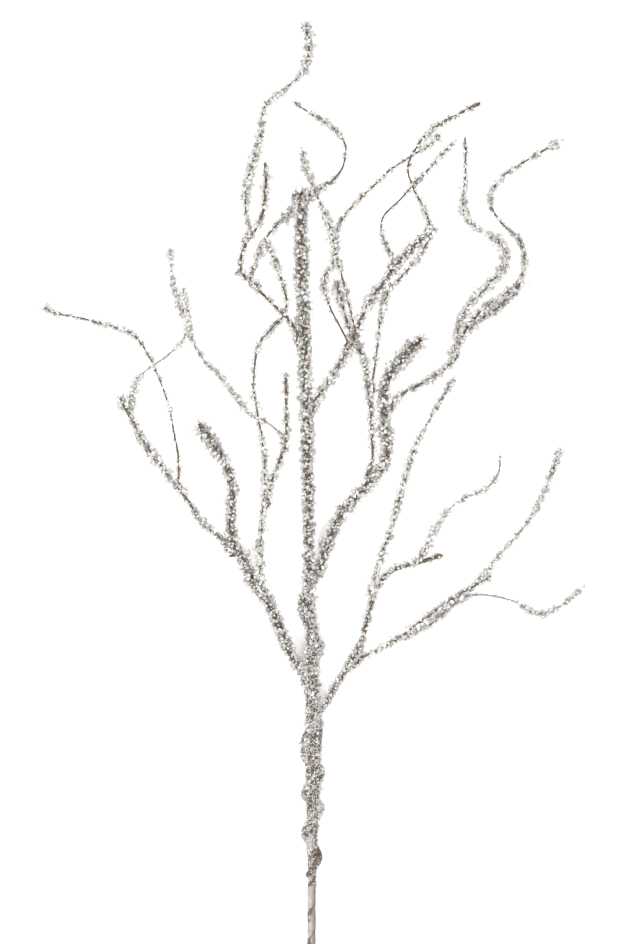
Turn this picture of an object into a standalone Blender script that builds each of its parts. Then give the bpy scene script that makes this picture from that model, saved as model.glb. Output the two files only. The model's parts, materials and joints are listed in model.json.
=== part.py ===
# Curly willow branch: a spray of wrapped wire stems with an iced crystal coat, lying on a surface.
# Every stem is one round tube of its outer form. The crystals' own relief isn't cut into the tubes.

import math

import bpy
from mathutils import Vector

# Routes are in millimetres: X across the branch, Y from the cut end to the top, Z above the surface.
MM = 0.001
SEAT_GAP = 0.35           # clear space between a stem and what it lies against
OVERALL_LENGTH = 758.6    # cut end to the highest twig
CENTRE_X = 0.6            # middle of the branch's width, measured from the stem

WRAPPED_STEM_RADIUS = 2.9
TWISTED_STEM_RADIUS = 4.5
TRUNK_RADIUS = 4.5
TRUNK_TOP_RADIUS = 6.2
THICK_BRANCH_RADIUS = 5.0
SIDE_SHOOT_RADIUS = 3.0
TWIG_RADIUS = 1.25
TWIG_TIP_RADIUS = 1.9
WOUND_STRAND_RADIUS = 2.5

COARSE_STEP = 9.0         # spacing of the rings along a stem
FINE_STEP = 3.2           # spacing of the rings where a stem winds round another
SEAT_STEP = 3.0           # spacing of the rings where a stem's base lies along its parent
BASE_TAPER = 0.8          # share of its radius that a base keeps at its very end
THICK_BEVEL = 2           # eight sides
THIN_BEVEL = 1            # six sides
THIN_LIMIT = 2.2          # stems up to this radius get six sides
TWIST_HEIGHT = 11.0       # height of the main stem's axis where strands wind round it

# Rings of a blunt tip: depth from the tip and width, both as shares of the tip's radius.
TIP_DOME = ((0.0, 0.45), (0.3, 0.82), (0.95, 1.0))
TIP_CLEARANCE = 1.6       # no other ring comes nearer the tip than this share of its radius

# Red, green, blue and roughness.

WRAPPED_STEM = (0.62, 0.59, 0.57, 0.75)
ICED_STEM = (0.60, 0.57, 0.53, 0.45)
ICED_TWIG = (0.43, 0.37, 0.32, 0.50)


def clear_scene():
    for old in list(bpy.data.objects):
        bpy.data.objects.remove(old, do_unlink=True)


def blend_through(points, amount, index):
    """Point on the smooth curve through the points, amount 0 to 1 past points[index]."""
    before = points[max(index - 1, 0)]
    start = points[index]
    end = points[index + 1]
    after = points[min(index + 2, len(points) - 1)]
    square = amount * amount
    cube = square * amount
    return (start * 2 + (end - before) * amount
            + (before * 2 - start * 5 + end * 4 - after) * square
            + (start * 3 - before - end * 3 + after) * cube) * 0.5


def smooth_route(points, step):
    """Evenly spaced points on the smooth curve through a route. Each is (x, y, z, radius)."""
    route = []
    for index in range(len(points) - 1):
        length = (points[index + 1].xyz - points[index].xyz).length
        count = max(1, round(length / step))
        for part in range(count):
            route.append(blend_through(points, part / count, index))
    route.append(points[-1].copy())
    return route


def nearest_on(route, point):
    """Place along a route, counted in its points, that is nearest to a point."""
    best = (1e9, 0.0)
    for index in range(len(route) - 1):
        start = route[index].xyz
        run = route[index + 1].xyz - start
        along = (point - start).dot(run) / run.length_squared
        along = min(max(along, 0.0), 1.0)
        distance = (point - start - run * along).length
        best = min(best, (distance, index + along))
    return best[1]


def point_on(route, place):
    index = min(int(place), len(route) - 2)
    return route[index].lerp(route[index + 1], place - index)


def direction_on(route, place):
    index = min(int(place), len(route) - 2)
    return (route[index + 1].xyz - route[index].xyz).normalized()


def beside(route, place, towards, radius):
    """Centre of a stem that lies against the route's surface, on the side of a given point."""
    carrier = point_on(route, place)
    along = direction_on(route, place)
    side = towards - carrier.xyz
    side -= along * side.dot(along)
    reach = carrier.w + radius + SEAT_GAP
    centre = carrier.xyz + side.normalized() * reach
    return Vector((*centre, radius))


def step_along(route, place, distance):
    """Place that lies a distance further along a route, towards its last point."""
    last_place = len(route) - 1.01
    travelled = 0.0
    while travelled < distance and place < last_place:
        next_place = min(place + 0.1, last_place)
        travelled += (point_on(route, next_place).xyz - point_on(route, place).xyz).length
        place = next_place
    return place


def seat_base(points, parent, overlap, base_radius):
    """Replace a route's last point by a seat on the parent, then run along it for the overlap."""
    towards = points[-1].xyz
    place = nearest_on(parent, towards)
    seats = [beside(parent, place, towards, base_radius)]
    runs = max(1, round(overlap / SEAT_STEP))
    for run in range(1, runs + 1):
        offset = seats[-1].xyz - point_on(parent, place).xyz
        place = step_along(parent, place, overlap / runs)
        towards = point_on(parent, place).xyz + offset
        radius = base_radius * (1.0 - (1.0 - BASE_TAPER) * run / runs)
        seats.append(beside(parent, place, towards, radius))
    return points[:-1] + seats


def round_tip(route):
    """Close the first end of a route with a small dome."""
    tip = route[0]
    inward = (route[1].xyz - tip.xyz).normalized()
    dome = []
    for depth, width in TIP_DOME:
        centre = tip.xyz + inward * (tip.w * depth)
        dome.append(Vector((*centre, tip.w * width)))
    clear = tip.w * TIP_CLEARANCE
    rest = [point for point in route[1:] if (point.xyz - tip.xyz).length > clear]
    return dome + rest


def wound_points(stem, turns, radius):
    """Points of a strand wound round the stem. Turns lists (y, turn): 0 right, 0.25 front, 0.5 left."""
    winding_length = math.tau * (TWISTED_STEM_RADIUS + radius)
    knots = [Vector((y, turn)) for y, turn in turns]
    strand = []
    for index in range(len(knots) - 1):
        rise = abs(knots[index + 1].x - knots[index].x)
        sweep = abs(knots[index + 1].y - knots[index].y) * winding_length
        count = max(1, round(math.hypot(rise, sweep) / FINE_STEP))
        for part in range(count):
            strand.append(blend_through(knots, part / count, index))
    strand.append(knots[-1])
    points = []
    for knot in strand:
        place = nearest_on(stem, Vector((0.0, knot.x, TWIST_HEIGHT)))
        carrier = point_on(stem, place)
        angle = knot.y * math.tau
        reach = carrier.w + radius + SEAT_GAP
        centre = carrier.xyz + Vector((math.cos(angle) * reach, 0.0, math.sin(angle) * reach))
        points.append(Vector((*centre, radius)))
    return points


def taper_end(points, count, least):
    """Narrow the last points of a route down to a share of their radius."""
    for order in range(count):
        share = least + (1.0 - least) * order / count
        points[-1 - order].w *= share
    return points


def make_material(name, look):
    red, green, blue, roughness = look
    material = bpy.data.materials.new(name)
    material.use_nodes = True
    shader = material.node_tree.nodes["Principled BSDF"]
    shader.inputs["Base Color"].default_value = (red, green, blue, 1.0)
    shader.inputs["Roughness"].default_value = roughness
    shader.inputs["Metallic"].default_value = 0.0
    material.diffuse_color = (red, green, blue, 1.0)
    return material


def make_stem(name, route, look):
    """One closed tube along a route, with the radius of each point."""
    widest = max(point.w for point in route[3:-1])
    curve = bpy.data.curves.new(name, "CURVE")
    curve.dimensions = "3D"
    curve.bevel_depth = MM
    curve.bevel_resolution = THIN_BEVEL if widest <= THIN_LIMIT else THICK_BEVEL
    curve.resolution_u = 1
    curve.render_resolution_u = 0
    curve.use_fill_caps = True
    spline = curve.splines.new("POLY")
    spline.points.add(len(route) - 1)
    origin = Vector((CENTRE_X, OVERALL_LENGTH / 2, 0.0))
    for knot, point in zip(spline.points, route):
        knot.co = (*((point.xyz - origin) * MM), 1.0)
        knot.radius = point.w
    curve.materials.append(make_material(name + "_finish", look))
    stem = bpy.data.objects.new(name, curve)
    bpy.context.collection.objects.link(stem)
    return stem


def with_radii(centres, tip_radius, radius, base_radius):
    """Route points with a blunt tip of its own radius, then an even change down to the base."""
    points = []
    last = len(centres) - 1
    for index, centre in enumerate(centres):
        share = max(index - 1, 0) / max(last - 1, 1)
        width = tip_radius if index == 0 else radius + (base_radius - radius) * share
        points.append(Vector((*centre, width)))
    return points


def grow(name, parent, centres, radii, look, overlap=9.0):
    """A stem from its tip to its seat on a parent route. Returns the finished route."""
    points = seat_base(with_radii(centres, *radii), parent, overlap, radii[2])
    route = round_tip(smooth_route(points, COARSE_STEP))
    make_stem(name, route, look)
    return route


THICK = (THICK_BRANCH_RADIUS - 0.4, THICK_BRANCH_RADIUS - 0.5, THICK_BRANCH_RADIUS - 0.6)
SHOOT = (SIDE_SHOOT_RADIUS + 0.2, SIDE_SHOOT_RADIUS, SIDE_SHOOT_RADIUS - 0.2)
SLIM_SHOOT = (SIDE_SHOOT_RADIUS - 0.2, SIDE_SHOOT_RADIUS - 0.6, SIDE_SHOOT_RADIUS - 0.9)
TWIG = (TWIG_TIP_RADIUS, TWIG_RADIUS, TWIG_RADIUS)


def main_stem():
    """The wrapped stem from its cut end, through the twist and up to the trunk's blunt top."""
    centres = (
        (0.0, 0.0, 2.9, WRAPPED_STEM_RADIUS),
        (0.2, 20.0, 3.3, WRAPPED_STEM_RADIUS),
        (0.3, 55.0, 5.4, WRAPPED_STEM_RADIUS),
        (0.5, 76.0, 7.4, WRAPPED_STEM_RADIUS + 0.2),
        (0.9, 102.0, 9.6, WRAPPED_STEM_RADIUS + 0.6),
        (1.3, 140.0, 11.0, TWISTED_STEM_RADIUS),
        (1.2, 183.0, 11.5, TWISTED_STEM_RADIUS),
        (0.8, 223.0, 12.2, TRUNK_RADIUS),
        (0.8, 262.0, 13.6, TRUNK_RADIUS),
        (-1.6, 295.0, 15.6, TRUNK_RADIUS - 0.3),
        (-1.8, 327.0, 18.0, TRUNK_RADIUS - 0.3),
        (-2.4, 375.0, 22.4, TRUNK_RADIUS + 0.1),
        (-4.0, 455.0, 29.0, TRUNK_RADIUS + 0.7),
        (-6.4, 535.0, 34.0, TRUNK_RADIUS + 1.2),
        (-8.0, 590.0, 36.0, TRUNK_TOP_RADIUS),
        (-8.6, 623.0, 37.0, TRUNK_TOP_RADIUS),
    )
    upwards = smooth_route([Vector(centre) for centre in centres], COARSE_STEP)
    route = round_tip(upwards[::-1])
    make_stem("main_stem", route, WRAPPED_STEM)
    return route


def branches_from_stem(stem):
    """Thick branches and shoots that spring from the main stem."""
    right = grow("right_branch", stem, (
        (89, 505.5, 36), (78, 494, 35), (68, 482, 34), (60.5, 471, 33), (58, 457, 31.5),
        (59, 434, 29), (61, 417, 27), (58.5, 404, 26), (49, 391, 25), (36, 378, 24),
        (24, 364, 22.5), (18, 352, 21), (12.5, 337, 18.5), (8.5, 325, 14.5), (5.5, 318, 10.5), (0, 311, 8),
    ), THICK, ICED_STEM, overlap=5.0)
    upper_left = grow("upper_left_shoot", stem, (
        (-37, 646, 33), (-36, 633, 32), (-38, 609, 31), (-44, 592, 31), (-52, 580, 32),
        (-56.5, 566, 34), (-53, 554, 36.5), (-40, 541, 38.5), (-25, 527, 39.5), (-17, 518, 40.5),
        (-12, 509, 40),
    ), SHOOT, ICED_STEM)
    upper_right = grow("upper_right_shoot", stem, (
        (100, 593, 36), (91, 586, 37), (78, 574, 39), (67, 562, 40), (57.5, 548, 41),
        (47, 533.5, 41), (40, 520, 41), (35, 506, 40.5), (27.5, 492, 39.5), (17, 475, 38),
        (10, 464, 36.5), (4, 454, 35),
    ), SHOOT, ICED_STEM, overlap=6.0)
    return right, upper_left, upper_right


def left_branch(stem):
    """The thick left branch. Its lower end tapers and winds behind the stem to the right."""
    tip_to_fork = with_radii((
        (-90.5, 437, 16), (-77.5, 418, 18), (-67, 401, 20), (-63, 383, 22), (-64, 359, 23),
        (-62, 340, 23.5), (-54.5, 329, 23), (-48.5, 313, 21.5), (-35, 294, 19.5), (-26, 274, 17.5),
        (-18.5, 256, 15.5), (-11.5, 244, 14.2),
    ), THICK[0], THICK[1], THICK[2] - 0.5)
    tail_radius = WOUND_STRAND_RADIUS - 0.3
    turns = ((235, 0.5), (228, 0.56), (214, 0.74), (196, 0.93), (183, 1.02), (173, 1.05))
    tail = wound_points(stem, turns, tail_radius)
    route = round_tip(smooth_route(tip_to_fork, COARSE_STEP) + taper_end(tail, 3, 0.5))
    make_stem("left_branch", route, ICED_STEM)
    return route


def lower_right_branch(stem):
    """The lower right branch. Its strand winds down round the stem to a taped taper."""
    tip_to_stem = with_radii((
        (106, 332, 10), (96, 328, 11), (81, 324, 12), (66, 319, 13), (57, 311, 13.5),
        (50.5, 301, 14), (46.5, 285.5, 14), (42.5, 268, 14), (37, 254, 14), (29, 241.5, 14),
        (22.5, 230, 14.5), (17, 222, 15), (13, 214.5, 15.5),
    ), SIDE_SHOOT_RADIUS, SIDE_SHOOT_RADIUS - 0.3, WOUND_STRAND_RADIUS)
    turns = (
        (205, 0.07), (194, 0.25), (184, 0.42), (169, 0.57), (157, 1.0), (139, 1.5), (128, 2.0),
        (108, 2.5), (88, 3.0), (72, 3.4),
    )
    strand = wound_points(stem, turns, WOUND_STRAND_RADIUS)
    route = round_tip(smooth_route(tip_to_stem, COARSE_STEP) + taper_end(strand, 6, 0.35))
    make_stem("lower_right_branch", route, ICED_STEM)
    return route


def short_stub(stem):
    """A short strand whose blunt end starts on the trunk's left and crosses to the right."""
    turns = ((302, 0.52), (290, 0.5), (275, 0.3), (259, 0.02), (250, -0.12), (243, -0.2))
    strand = wound_points(stem, turns, WOUND_STRAND_RADIUS)
    route = round_tip(taper_end(strand, 3, 0.6))
    make_stem("short_stub", route, ICED_STEM)
    return route


def left_twigs(left):
    """Shoot and twigs of the left branch."""
    side = grow("left_side_shoot", left, (
        (-154, 458.5, 15), (-147, 446, 14.5), (-140, 433, 14.5), (-129, 415, 15.5), (-113, 393, 18),
        (-99, 375, 21), (-87, 357, 24), (-79, 350, 25), (-73, 342, 26),
    ), SHOOT, ICED_STEM)
    grow("left_long_twig", side, (
        (-216, 529.5, 1.6), (-206, 525.5, 2.5), (-185, 521, 5.5), (-165.5, 516, 9.5),
        (-149, 511, 13), (-139, 504, 16), (-126.5, 484, 20), (-115, 454, 22), (-109.5, 429, 22.5),
        (-106, 407, 23), (-104.5, 391, 24),
    ), TWIG, ICED_TWIG)
    grow("left_hooked_twig", side, (
        (-103, 545, 38), (-99, 529, 32.5), (-98.5, 519, 28.5), (-102, 505, 25), (-108, 497, 22),
        (-117, 489.5, 17), (-126.5, 483, 13), (-134.5, 477, 11), (-141.5, 468, 9),
        (-144, 453, 7), (-143, 439, 6.6), (-139.5, 424, 7.5), (-131.5, 411, 9.5),
    ), (2.1, 1.7, 1.9), ICED_TWIG)
    return side


def centre_twigs(left, upper_left):
    """Thin twigs between the left branch and the trunk, and those on the upper left shoot."""
    centre = grow("centre_long_twig", left, (
        (-37.5, 585, 58), (-33, 575, 56), (-27, 561, 52), (-22.5, 546.5, 46), (-19.5, 534.5, 39),
        (-22, 523, 32), (-31, 513, 29.5), (-42, 498.5, 29), (-45, 481.5, 28), (-46, 466.5, 28),
        (-43.5, 449, 28), (-40, 429, 28), (-37.5, 410, 27.5), (-37, 387, 27), (-39, 359, 26.5),
        (-40.5, 337, 26.5), (-41, 320, 26.5), (-39.5, 306, 27),
    ), TWIG, ICED_TWIG)
    short = grow("centre_short_shoot", centre, (
        (-20.5, 477, 48), (-20, 459, 43), (-19.5, 443, 38), (-19.5, 429, 34), (-20.5, 417, 30),
        (-26, 404, 29), (-30.5, 392, 28), (-34, 380, 27),
    ), SLIM_SHOOT, ICED_TWIG)
    grow("left_middle_twig", short, (
        (-113, 577, 13), (-112, 562.5, 14), (-110.5, 547, 15.5), (-105.5, 532, 17),
        (-99, 518.5, 19), (-95, 503, 19), (-86.5, 488, 19), (-75, 477, 19), (-66.5, 465.5, 19.5),
        (-57.5, 454.5, 20), (-49.5, 444, 20.5), (-40, 440, 22), (-31, 434, 25), (-24, 428, 29),
    ), TWIG, ICED_TWIG, overlap=6.0)
    grow("top_twig", upper_left, (
        (-4, 758.5, 1.6), (-2, 745, 2.6), (-2.5, 729, 6), (-8, 717, 10), (-17, 708, 14),
        (-28, 699, 18), (-37, 690.5, 21), (-39, 677.5, 23), (-41.5, 662.5, 25), (-46.5, 645.5, 27),
        (-51, 629.5, 30), (-52.5, 615, 32), (-51.5, 603, 34), (-50.5, 592, 36),
    ), TWIG, ICED_TWIG)
    grow("top_loop_twig", upper_left, (
        (-15, 693.5, 54), (-5.5, 686.5, 51), (11, 677, 46), (21, 669, 41), (26.5, 661, 37),
        (28, 653, 33), (25.5, 641.5, 30), (17.5, 631, 28), (6.5, 624, 27), (-5, 616, 26.5),
        (-15, 606.5, 28), (-25, 597.5, 32), (-35, 586, 37), (-41, 574, 41), (-44.5, 564, 43),
        (-48, 554, 43),
    ), TWIG, ICED_TWIG)


def right_twigs(right, upper_right):
    """Shoots and twigs of the right branch and of the upper right shoot."""
    inner = grow("right_inner_shoot", right, (
        (21, 551, 38), (22.5, 539, 37), (27, 523, 35), (32, 510, 33), (38, 498, 32),
        (43, 484, 31), (46, 467, 30), (48, 446, 29), (48.7, 427, 29), (49.5, 412, 28.5),
        (47, 402, 29),
    ), SHOOT, ICED_STEM, overlap=6.0)
    grow("right_long_twig", inner, (
        (136, 692, 52), (120, 684, 52.5), (100, 673, 52), (88, 661.5, 51), (80, 649.5, 50),
        (77.5, 638, 49), (81, 625, 48), (89, 610, 47), (94.5, 595, 45.5), (94.5, 584.5, 45),
        (86, 570, 43.5), (73, 554, 40.5), (63.5, 544, 38), (58.5, 533, 36), (55.5, 519, 34),
        (53.5, 502, 33), (51.7, 486, 32.5), (50, 472, 32.5),
    ), TWIG, ICED_TWIG)
    outer = grow("right_outer_shoot", right, (
        (171, 552, 20), (164, 545, 21), (151, 537, 23), (140, 529.5, 25), (131, 521, 27),
        (123, 510, 28), (118.5, 498, 29), (113, 486, 30), (103, 477, 31), (87, 467.5, 32),
        (76, 462, 32.5), (67, 453, 33),
    ), (2.9, 2.7, 2.6), ICED_STEM, overlap=5.0)
    grow("right_tall_twig", outer, (
        (123, 666.5, 40), (123.5, 651, 39), (123, 629, 37), (121.5, 609.5, 35), (126.5, 597.5, 33),
        (138.5, 589, 31), (149.5, 582, 29), (155.5, 573.5, 27), (154.5, 563, 27),
        (147, 552, 28), (136.5, 541.5, 30), (125.5, 529.5, 31.5), (118.5, 517, 32), (115.5, 503, 32),
    ), TWIG, ICED_TWIG)
    grow("right_far_twig", outer, (
        (198, 662.5, 1.5), (188, 656.5, 2.6), (176, 649.5, 5), (165, 642.5, 7.5), (153.5, 634.5, 10),
        (146.5, 625.5, 12), (143.5, 616, 14), (147, 605, 15), (156, 593.5, 15.5),
        (165.5, 585.5, 15), (170.5, 574.5, 14), (171, 561.5, 13), (165.5, 544.5, 13),
        (154.5, 532.5, 15), (143, 524.5, 18), (134.5, 516, 21.5),
    ), TWIG, ICED_TWIG)
    grow("inner_curl_twig", upper_right, (
        (-6.5, 653.5, 66), (-5, 644, 63), (-1, 631, 59), (5, 617, 55), (12, 601, 52),
        (17.5, 584, 50), (20.5, 568, 49), (25, 552.5, 48), (29, 537, 47.5), (32, 525, 46.5),
        (35, 512, 46),
    ), TWIG, ICED_TWIG)
    grow("upper_curl_twig", upper_right, (
        (103, 670.5, 30), (98.5, 662, 33), (89, 655, 36), (77.5, 648, 39), (63, 639, 40),
        (50.5, 626.5, 41), (38.5, 615, 41.5), (27, 602.5, 42), (20, 590.5, 42), (19, 577, 42),
        (18.5, 565.5, 42), (13, 557, 42), (10, 546.5, 42), (13.5, 533.5, 42), (19.5, 520, 42.5),
        (26, 504, 43),
    ), TWIG, ICED_TWIG, overlap=4.0)
    grow("right_forked_twig", upper_right, (
        (117, 662.5, 47), (109.5, 656, 46), (97, 642.5, 43), (83, 628, 40.5), (70.5, 614.5, 39.5),
        (59, 603, 40), (56, 593.5, 41), (58.5, 582, 42.5), (63, 568, 43.5),
    ), TWIG, ICED_TWIG, overlap=4.0)


def lower_right_twigs(lower_right):
    """Shoot and twigs of the lower right branch."""
    grow("lower_right_inner_twig", lower_right, (
        (116, 473, 13), (110.5, 465.5, 15), (101.5, 451, 18), (93.5, 437, 20), (85, 421.5, 21.5),
        (79, 405, 21.5), (74.5, 389, 21), (69.5, 372, 20), (65, 354.5, 19), (59, 338, 18),
        (53.5, 323, 17.5), (50, 310, 17.5),
    ), TWIG, ICED_TWIG)
    grow("lower_right_middle_twig", lower_right, (
        (151, 412, 34), (151, 401.5, 32), (147, 391, 29.5), (137, 382.5, 26), (124, 377, 22.5),
        (113, 369.5, 20), (103, 357.5, 18), (95, 344, 16), (88.5, 331, 15.5),
    ), TWIG, ICED_TWIG, overlap=4.0)
    shoot = grow("lower_right_shoot", lower_right, (
        (145.5, 315, 8), (133.5, 308, 8.5), (116, 297, 9), (100, 286.5, 10), (83, 273.5, 11),
        (70, 264, 12), (55.5, 255.5, 13), (41, 248.5, 13.5),
    ), (3.0, 2.8, 2.6), ICED_STEM)
    grow("lower_right_tall_twig", shoot, (
        (201, 417.5, 30), (195, 404, 27), (189.5, 388, 23), (181.5, 371, 19), (175, 358.5, 16),
        (165, 346.5, 14), (152, 332, 12.5), (140, 317, 12),
    ), TWIG, ICED_TWIG, overlap=7.0)
    grow("lower_right_wavy_twig", shoot, (
        (217, 304, 1.7), (209, 297, 2.0), (199, 289, 2.6), (186.5, 283.5, 3), (175, 287, 3.2),
        (163, 293.5, 3.4), (149, 297.5, 3.2), (135, 299, 2.6), (124, 297, 2.2), (111, 288.5, 2.8),
        (100, 278.5, 4.6), (93, 273, 6), (85, 267.5, 7.5),
    ), TWIG, ICED_TWIG)


clear_scene()
stem_route = main_stem()
right_route, upper_left_route, upper_right_route = branches_from_stem(stem_route)
left_route = left_branch(stem_route)
lower_right_route = lower_right_branch(stem_route)
short_stub(stem_route)
left_twigs(left_route)
centre_twigs(left_route, upper_left_route)
right_twigs(right_route, upper_right_route)
lower_right_twigs(lower_right_route)
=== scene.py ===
import json
import math
import random

import bmesh
import bpy
import numpy as np
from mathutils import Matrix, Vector, noise

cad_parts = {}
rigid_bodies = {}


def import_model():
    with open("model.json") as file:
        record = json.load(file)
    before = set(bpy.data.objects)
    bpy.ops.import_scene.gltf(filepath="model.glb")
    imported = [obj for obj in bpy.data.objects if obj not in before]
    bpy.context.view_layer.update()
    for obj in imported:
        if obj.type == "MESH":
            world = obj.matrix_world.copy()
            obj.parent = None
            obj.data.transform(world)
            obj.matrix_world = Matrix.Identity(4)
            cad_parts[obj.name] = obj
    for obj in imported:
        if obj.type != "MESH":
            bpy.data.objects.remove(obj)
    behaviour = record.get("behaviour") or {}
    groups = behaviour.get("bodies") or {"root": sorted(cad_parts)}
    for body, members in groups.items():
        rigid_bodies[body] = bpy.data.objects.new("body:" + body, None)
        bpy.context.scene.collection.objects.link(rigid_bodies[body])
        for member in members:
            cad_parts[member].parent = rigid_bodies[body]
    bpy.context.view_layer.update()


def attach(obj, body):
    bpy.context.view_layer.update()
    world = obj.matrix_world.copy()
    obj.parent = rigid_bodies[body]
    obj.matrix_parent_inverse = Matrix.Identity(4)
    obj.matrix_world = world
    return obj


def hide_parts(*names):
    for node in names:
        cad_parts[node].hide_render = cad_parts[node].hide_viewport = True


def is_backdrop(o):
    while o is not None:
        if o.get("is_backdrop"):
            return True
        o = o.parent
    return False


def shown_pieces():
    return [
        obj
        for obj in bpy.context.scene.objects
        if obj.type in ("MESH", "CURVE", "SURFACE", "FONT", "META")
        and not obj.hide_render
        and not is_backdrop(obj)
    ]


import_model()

# Routes are in millimetres: X across the branch, Y from the cut end to the top, Z above the surface.
mm = 0.001
seatGap = 0.35
origin = Vector((0.6, 379.3, 0.0))
floorGap = 0.00006      # lowest place of anything on the branch, in metres
twistHeight = 11.0
twistRadius = 4.5
hug = 0.86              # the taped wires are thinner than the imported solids, so wound ones lie closer
coarseStep = 9.0
fineStep = 3.2
seatStep = 3.0
visualStep = 1.5
noise.seed_set(28)      # unseeded, the wires would wander differently each run


def addObject(name, data):
    thing = bpy.data.objects.new(name, data)
    bpy.context.scene.collection.objects.link(thing)
    return thing


def meshFrom(build, name):
    mesh = bpy.data.meshes.new(name)
    build.to_mesh(mesh)
    build.free()
    return mesh


def newMaterial(name, sockets=None):
    material = bpy.data.materials.new(name)
    material.use_nodes = True
    shader = material.node_tree.nodes["Principled BSDF"].inputs
    for label, value in (sockets or {}).items():
        shader[label].default_value = value
    return material, material.node_tree, shader


# Picture: camera, lamps, floor

pictureSetup = {
    "pixel": 0.0008,                 # metres that one of the 944 pixels of height covers
    "height": 944,
    "centre": (0.0066, 0.0183, 0.027),
    "distance": 6.0,
    "sky": (0.55, 0.55, 0.555, 1),
    "paper": (0.97, 0.97, 0.97, 1),
    # name: place, side of the square, watts
    "lamps": {
        "topLamp": ((-0.2, 0.1, 2.2), 5.0, 132.0),
        "keyLamp": ((-1.1, 0.5, 1.7), 0.5, 14.0),
        "sparkLampLeft": ((-0.5, -1.2, 1.3), 0.3, 4.2),
        "sparkLampRight": ((0.8, 1.1, 1.5), 0.3, 4.2),
        "sparkLampTop": ((0.3, -0.2, 2.0), 0.3, 5.5),
    },
    "lampTarget": (0, 0, 0.02),
    "floor": 8.0,
}


def makeCamera(setup):
    eye = bpy.data.cameras.new("eye")
    eye.sensor_width = 36.0
    eye.lens = eye.sensor_width * setup["distance"] / (setup["pixel"] * setup["height"])
    eye.clip_end = 50.0
    camera = addObject("eye", eye)
    camera.location = Vector(setup["centre"]) + Vector((0, 0, setup["distance"]))
    bpy.context.scene.camera = camera


def makeLamps(setup):
    for name, (place, side, watts) in setup["lamps"].items():
        glow = bpy.data.lights.new(name, "AREA")
        glow.size = side
        glow.energy = watts
        lamp = addObject(name, glow)
        lamp.location = place
        lamp.rotation_mode = "QUATERNION"
        lamp.rotation_quaternion = (Vector(setup["lampTarget"]) - lamp.location).to_track_quat("-Z", "Y")
    sky = bpy.data.worlds.new("studioSky")
    sky.use_nodes = True
    sky.node_tree.nodes["Background"].inputs["Color"].default_value = setup["sky"]
    bpy.context.scene.world = sky
    bpy.context.scene.view_settings.view_transform = "Standard"


def makeFloor(setup):
    build = bmesh.new()
    bmesh.ops.create_grid(build, x_segments=8, y_segments=8, size=setup["floor"])
    floor = addObject("studioFloor", meshFrom(build, "studioFloor"))
    paper = {"Base Color": setup["paper"], "Roughness": 0.9, "Specular IOR Level": 0.1}
    floor.data.materials.append(newMaterial("studioPaper", paper)[0])
    floor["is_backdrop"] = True


makeCamera(pictureSetup)
makeLamps(pictureSetup)
makeFloor(pictureSetup)
print("camera, lamps and floor are set")


# Finishes

finishes = {
    "brownPaper": (0.120, 0.067, 0.036, 1),
    "darkPaper": (0.018, 0.010, 0.006, 1),
    "greyPaper": (0.150, 0.130, 0.117, 1),
    "whitewash": (0.500, 0.484, 0.488, 1),
    "seamBrown": (0.078, 0.044, 0.023, 1),
    "clearIce": (0.755, 0.742, 0.708, 1),
    "smokyIce": (0.600, 0.582, 0.545, 1),
    "milkyIce": (0.720, 0.708, 0.680, 1),
    "greyIce": (0.580, 0.565, 0.538, 1),
    # near white, for the chips painted as sparkles
    "whiteSparkleIce": (0.940, 0.940, 0.930, 1),
    "cutSteel": (0.360, 0.350, 0.340, 1),
    "steelStain": (0.130, 0.075, 0.045, 1),
}


def addNode(tree, kind, sockets=None, **settings):
    node = tree.nodes.new(kind)
    for name, value in settings.items():
        setattr(node, name, value)
    for key, value in (sockets or {}).items():
        if isinstance(value, bpy.types.NodeSocket):
            tree.links.new(value, node.inputs[key])
        else:
            node.inputs[key].default_value = value
    return node


# adds a node and gives its first output
def feed(tree, kind, sockets=None, **settings):
    return addNode(tree, kind, sockets, **settings).outputs[0]


def sums(tree, operation, first, second=0.5, **settings):
    return feed(tree, "ShaderNodeMath", {0: first, 1: second}, operation=operation, **settings)


def plus(tree, first, second):
    return sums(tree, "ADD", first, second)


def minus(tree, first, second):
    return sums(tree, "SUBTRACT", first, second)


def times(tree, first, second):
    return sums(tree, "MULTIPLY", first, second)


def ramp(tree, value, low, high, start=0.0, end=1.0):
    return feed(tree, "ShaderNodeMapRange", {0: value, 1: low, 2: high, 3: start, 4: end})


def cloud(tree, place, scale, detail=2.0, roughness=0.5):
    sockets = {"Vector": place, "Scale": scale, "Detail": detail, "Roughness": roughness}
    return feed(tree, "ShaderNodeTexNoise", sockets)


# each colour is a finish's name or a socket
def mixColour(tree, amount, *colours):
    first, second = (finishes[colour] if isinstance(colour, str) else colour for colour in colours)
    return addNode(tree, "ShaderNodeMix", {0: amount, 6: first, 7: second}, data_type="RGBA").outputs[2]


def objectPlace(tree):
    return addNode(tree, "ShaderNodeTexCoord").outputs["Object"]


def carriedMask(tree, name):
    return addNode(tree, "ShaderNodeAttribute", attribute_name=name).outputs["Fac"]


def bumpOf(tree, height, strength, distance):
    return feed(tree, "ShaderNodeBump", {"Height": height, "Strength": strength, "Distance": distance})


# inputs lists (name, kind, value or None) and outputs lists (name, kind)
def newTree(name, kind, inputs, outputs):
    tree = bpy.data.node_groups.new(name, kind)
    for label, socket, value in inputs:
        socket = tree.interface.new_socket(label, in_out="INPUT", socket_type="NodeSocket" + socket)
        if value is not None:
            socket.default_value = value
    for label, socket in outputs:
        tree.interface.new_socket(label, in_out="OUTPUT", socket_type="NodeSocket" + socket)
    return tree, tree.nodes.new("NodeGroupInput").outputs, tree.nodes.new("NodeGroupOutput").inputs


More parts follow.
